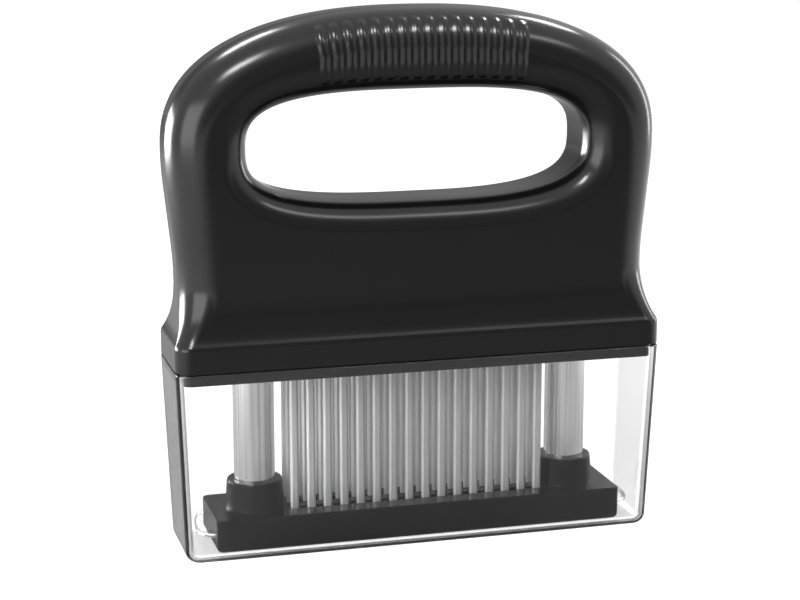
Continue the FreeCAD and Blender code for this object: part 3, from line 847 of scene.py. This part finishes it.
class TENDERIZER_OT_posts(bpy.types.Operator):
    """Turn the polished guide posts"""
    bl_idname = "tenderizer.posts"
    bl_label = "Guide posts"

    def execute(self, context):
        radius, foot_z, top_z = post_radius, post_low.z, post_high.z
        groove, groove_low, groove_high = 0.45 * mm, top_z - 2.2 * mm, top_z - 1.0 * mm
        bore, bore_floor, hole_roof = 4.7 * mm, top_z - 25.8 * mm, foot_z + 10 * mm
        for name, x in (("left", -post_x), ("right", post_x)):
            skin = Skin()
            first, last = turned(skin, [
                (SCREW_HOLE, hole_roof),
                (SCREW_HOLE, foot_z),
                (radius, foot_z, 0.3 * mm),
                (radius, groove_low),
                (radius - groove, groove_low),
                (radius - groove, groove_high),
                (radius, groove_high),
                (radius, top_z, 0.4 * mm),
                (bore, top_z, 0.2 * mm),
                (bore, bore_floor),
            ], x, arc_steps=24)
            skin.fill([first], DOWN)
            skin.fill([last], UP)
            skin.make("post_" + name, "guard", chrome_material(),
                      ["guide_post_" + name])
        return {"FINISHED"}


class TENDERIZER_OT_end_loops(bpy.types.Operator):
    """Bend the clear loops at the guard's ends"""
    bl_idname = "tenderizer.end_loops"
    bl_label = "Guard end loops"

    def execute(self, context):
        flat = (end_loop_high.z - end_loop_low.z) / 2
        wire = flat / cos(pi / 6)                # the solid's wire has six flat sides
        z = (end_loop_high.z + end_loop_low.z) / 2
        half = end_loop_high.y - wire
        reach, power = end_loop_high.x - wire - end_loop_low.x, 2.5
        steps = 28
        for name, side in (("left", -1), ("right", 1)):
            points = []
            for i in range(steps + 1):
                a = pi * (i / steps - 0.5)
                points.append(Vector((
                    side * (end_loop_low.x + reach * max(cos(a), 0.0) ** (2 / power)),
                    copysign(half * abs(sin(a)) ** (2 / power), a), z)))
            skin = Skin()
            tube(skin, points, wire)
            # The loops' clear plastic carries the painted edge shade, darker towards their
            # outlines.
            skin.make("end_loop_" + name, "guard",
                      clear_material("clear_loop", near=0.4, far=0.8), ["guard_loop_" + name])
        return {"FINISHED"}


class TENDERIZER_OT_springs(bpy.types.Operator):
    """Wind the return springs; on the real tool they close up as the guard is pressed"""
    bl_idname = "tenderizer.springs"
    bl_label = "Return springs"

    def execute(self, context):
        radius, wire, turns, steps = 3.9 * mm, 0.6 * mm, 9.5, 24
        low, high = spring_low.z + wire, spring_high.z - wire
        count = round(turns * steps)
        for name, x in (("left", -post_x), ("right", post_x)):
            points = []
            for i in range(count + 1):
                a = 2 * pi * i / steps
                points.append(Vector((x + radius * cos(a), radius * sin(a),
                                      low + (high - low) * i / count)))
            skin = Skin()
            tube(skin, points, wire, sides=8)
            spring = skin.make("spring_" + name, "handle", zinc_material(),
                               ["return_spring_" + name])
            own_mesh(spring)
        return {"FINISHED"}


class TENDERIZER_OT_blades(bpy.types.Operator):
    """Grind the blades and finish the block, plate, bushes, rings and screws"""
    bl_idname = "tenderizer.blades"
    bl_label = "Blades and block"

    def execute(self, context):
        dress(blade_material(), "blades_front", "blades_middle", "blades_rear")
        dress(block_material(), "blade_block", "blade_clamp_plate")
        dress(nylon_material(), "guide_bush_left", "guide_bush_right")
        dress(zinc_material(), "block_screws", "clamp_screws", "guard_screws",
              "retaining_ring_left", "retaining_ring_right")
        return {"FINISHED"}


# ---- cover ----
class TENDERIZER_OT_cover(bpy.types.Operator):
    """Mould the clear cover"""
    bl_idname = "tenderizer.cover"
    bl_label = "Cover"

    def execute(self, context):
        sizes = context.scene.tenderizer_cover
        high_x, high_y, top = cover_high.x, cover_high.y, cover_high.z
        low_x, low_y = high_x - sizes.end_draft, high_y - sizes.side_draft
        wall, floor, corner, low = sizes.wall, sizes.floor, sizes.corner, sizes.low_round
        rise = floor / top
        floor_x = low_x + rise * sizes.end_draft - wall
        floor_y = low_y + rise * sizes.side_draft - wall
        inside_corner, inside_low, rim = corner - wall, 1.6 * mm, 0.5 * mm
        skin = Skin()
        under, over = loft(skin, outline_path([
            (low_x - low, low_y - low, corner - low, 0.0),
            (low_x, low_y, corner, 0.0, low),
            (high_x, high_y, corner, top, rim),
            (high_x - wall, high_y - wall, inside_corner, top, rim),
            (floor_x, floor_y, inside_corner, floor, inside_low),
            (floor_x - inside_low, floor_y - inside_low, inside_corner - inside_low, floor),
        ], steps=8), arc_steps=12)
        skin.fill([under], DOWN)
        skin.fill([over], UP)
        # The cover's clear plastic carries the painted edge shade, darker towards grazing view.
        cover = skin.make("clear_cover_body", "cover", clear_material(), ["cover"])
        cover.visible_shadow = False
        return {"FINISHED"}


# ---- stage ----
STAGE_TURN = radians(-15)                # brings the stage's depth onto Y
AIM = Vector((0, 0, 0.09))               # point that the lamps face
SOFTBOXES = (
    # name, direction, distance, line along its width, width, height, radiance
    ("side", (-0.79, 0.61, 0.03), 0.9, (1, 1, 0), 0.50, 0.34, 24),
    ("left", (-0.83, -0.54, 0.14), 1.2, (0, 1, 0), 0.86, 0.80, 3.0),
    ("right", (0.93, 0.30, 0.20), 1.0, (0, 1, 0), 0.12, 0.80, 8),
    ("key", (-0.33, -0.55, 0.77), 1.1, (1, 0, 0), 0.26, 0.16, 28),
    ("front", (0.41, -0.56, 0.72), 1.1, (1, 0, 0), 0.48, 0.15, 5),
    ("rear_left", (-0.27, 0.43, 0.86), 1.1, (1, 0.2, 0), 0.34, 0.14, 36),
    ("rear_right", (0.55, 0.41, 0.74), 1.1, (1, -0.3, 0), 0.22, 0.14, 24),
)


def plane(name, corners, material):
    """Flat stage piece through corners."""
    mesh = bpy.data.meshes.new(name)
    mesh.from_pydata(corners, [], [list(range(len(corners)))])
    mesh.materials.append(material)
    piece = bpy.data.objects.new(name, mesh)
    bpy.context.scene.collection.objects.link(piece)
    return piece


def softbox(name, direction, distance, along, width, height, radiance):
    """Area lamp that faces the object from a direction, with its width laid along a vector."""
    lamp = bpy.data.lights.new(name, "AREA")
    lamp.shape = "RECTANGLE"
    lamp.size, lamp.size_y = width, height
    lamp.energy = radiance * pi * width * height
    holder = bpy.data.objects.new(name, lamp)
    back = Vector(direction).normalized()
    across = Vector(along)
    across = (across - back * across.dot(back)).normalized()
    turn = Matrix((across, back.cross(across), back)).transposed()
    holder.matrix_world = Matrix.Translation(back * distance + AIM) @ turn.to_4x4()
    bpy.context.scene.collection.objects.link(holder)
    return holder


def stage_aligned(tree, vector):
    """Vector in the stage's own axes."""
    turn = add_node(tree, "ShaderNodeVectorRotate", rotation_type="Z_AXIS", Angle=STAGE_TURN)
    tree.links.new(vector, turn.inputs["Vector"])
    return turn.outputs[0]


def backdrop_level(tree, gloss, matt):
    """Strength of a backdrop: white to the eye and through glass, and gloss where light bounced."""
    path = tree.nodes.new("ShaderNodeLightPath").outputs
    clear = maths(tree, "MAXIMUM", path["Is Glossy Ray"], path["Is Transmission Ray"])
    seen = maths(tree, "MAXIMUM", path["Is Camera Ray"], clear)
    plain = maths(tree, "MAXIMUM", seen, matt)
    bounced = maths(tree, "MINIMUM", seen, path["Glossy Depth"])
    level = tree.nodes.new("ShaderNodeMix")
    tree.links.new(bounced, level.inputs["Factor"])
    tree.links.new(plain, level.inputs[2])
    tree.links.new(gloss, level.inputs[3])
    return level.outputs[0]


class TENDERIZER_OT_stage(bpy.types.Operator):
    """Set the pale floor, the soft lamps, the room and the camera"""
    bl_idname = "tenderizer.stage"
    bl_label = "Stage"

    def execute(self, context):
        settings = context.scene.tenderizer_stage
        self.floor(settings)
        self.room(context, settings)
        for name, *place_and_size, radiance in SOFTBOXES:
            softbox(name + "_softbox", *place_and_size, radiance * settings.lamp_level)
        lens = bpy.data.cameras.new("camera")
        lens.lens = settings.lens
        camera = bpy.data.objects.new("camera", lens)
        camera.location = settings.camera_at
        camera.rotation_euler = settings.camera_turn
        context.scene.collection.objects.link(camera)
        context.scene.camera = camera
        context.scene.view_settings.view_transform = "Standard"
        return {"FINISHED"}

    @staticmethod
    def floor(settings):
        """Pale floor that the camera sees as white, with the object's soft shadow."""
        material = bpy.data.materials.new("stage_floor")
        material.use_nodes = True
        tree = material.node_tree
        shader = tree.nodes["Principled BSDF"]
        shader.inputs["Base Color"].default_value = (*settings.floor, 1)
        shader.inputs["Roughness"].default_value = 0.9
        shader.inputs["Emission Color"].default_value = (1, 1, 1, 1)
        # Gloss doesn't show the floor in two ovals that reach forward and back from the tool.
        oval_x, oval_y, oval_edge, white, reach = 0.5, 3.0, 1.25, 0.90, 6.0
        place = tree.nodes.new("ShaderNodeNewGeometry").outputs["Position"]
        folded = vector_maths(tree, "ABSOLUTE", stage_aligned(tree, place))
        from_oval = vector_maths(tree, "MULTIPLY_ADD", folded, (1 / oval_x, 1 / oval_y, 0.0),
                                 (0.0, -1.0, 0.0))
        away = worked(tree, "LENGTH", from_oval, kind="ShaderNodeVectorMath").outputs["Value"]
        gloss = faded(tree, away, (1.0, 0.0), (oval_edge, 1.0))
        strength = maths(tree, "MULTIPLY", backdrop_level(tree, gloss, 0.0), white)
        tree.links.new(strength, shader.inputs["Emission Strength"])
        plane("floor", [(-reach, -reach, 0), (reach, -reach, 0), (reach, reach, 0),
                        (-reach, reach, 0)], material)

    @staticmethod
    def room(context, settings):
        """White room for the camera and through glass, and a softer one for matt surfaces."""
        world = bpy.data.worlds.new("room")
        world.use_nodes = True
        context.scene.world = world
        tree = world.node_tree
        background = tree.nodes["Background"]
        background.inputs["Color"].default_value = (1, 1, 1, 1)
        side_end, front_start = 0.60, 0.88       # share of a direction that lies along the depth
        apart = tree.nodes.new("ShaderNodeSeparateXYZ")
        way = tree.nodes.new("ShaderNodeTexCoord").outputs["Generated"]
        tree.links.new(stage_aligned(tree, way), apart.inputs[0])
        depth = maths(tree, "ABSOLUTE", apart.outputs["Y"])
        gloss = faded(tree, depth, (side_end, 1.0), (front_start, settings.room_front))
        shown = backdrop_level(tree, gloss, settings.ambient)
        tree.links.new(shown, background.inputs["Strength"])


# ---- panel and registration ----
OPERATORS = (
    TENDERIZER_OT_stage,
    TENDERIZER_OT_handle,
    TENDERIZER_OT_ribs,
    TENDERIZER_OT_blades,
    TENDERIZER_OT_guard,
    TENDERIZER_OT_posts,
    TENDERIZER_OT_end_loops,
    TENDERIZER_OT_springs,
    TENDERIZER_OT_cover,
)


class TENDERIZER_PT_panel(bpy.types.Panel):
    """Lists the settings and the steps that build the tenderizer"""
    bl_idname = "TENDERIZER_PT_panel"
    bl_label = "Blade Meat Tenderizer"
    bl_space_type = "VIEW_3D"
    bl_region_type = "UI"
    bl_category = "Tenderizer"

    def draw(self, context):
        for key, group in SETTINGS.items():
            box = self.layout.box()
            box.label(text=group.__doc__)
            for name in group.__annotations__:
                box.prop(getattr(context.scene, key), name)
        for operator in OPERATORS:
            self.layout.operator(operator.bl_idname)


CLASSES = (*SETTINGS.values(), *OPERATORS, TENDERIZER_PT_panel)


def register():
    for item in CLASSES:
        bpy.utils.register_class(item)
    for key, group in SETTINGS.items():
        setattr(bpy.types.Scene, key, PointerProperty(type=group))


def unregister():
    for key in SETTINGS:
        delattr(bpy.types.Scene, key)
    for item in reversed(CLASSES):
        bpy.utils.unregister_class(item)


def main():
    register()
    for operator in OPERATORS:
        family, name = operator.bl_idname.split(".")
        getattr(getattr(bpy.ops, family), name)()


if __name__ == "__main__":
    main()
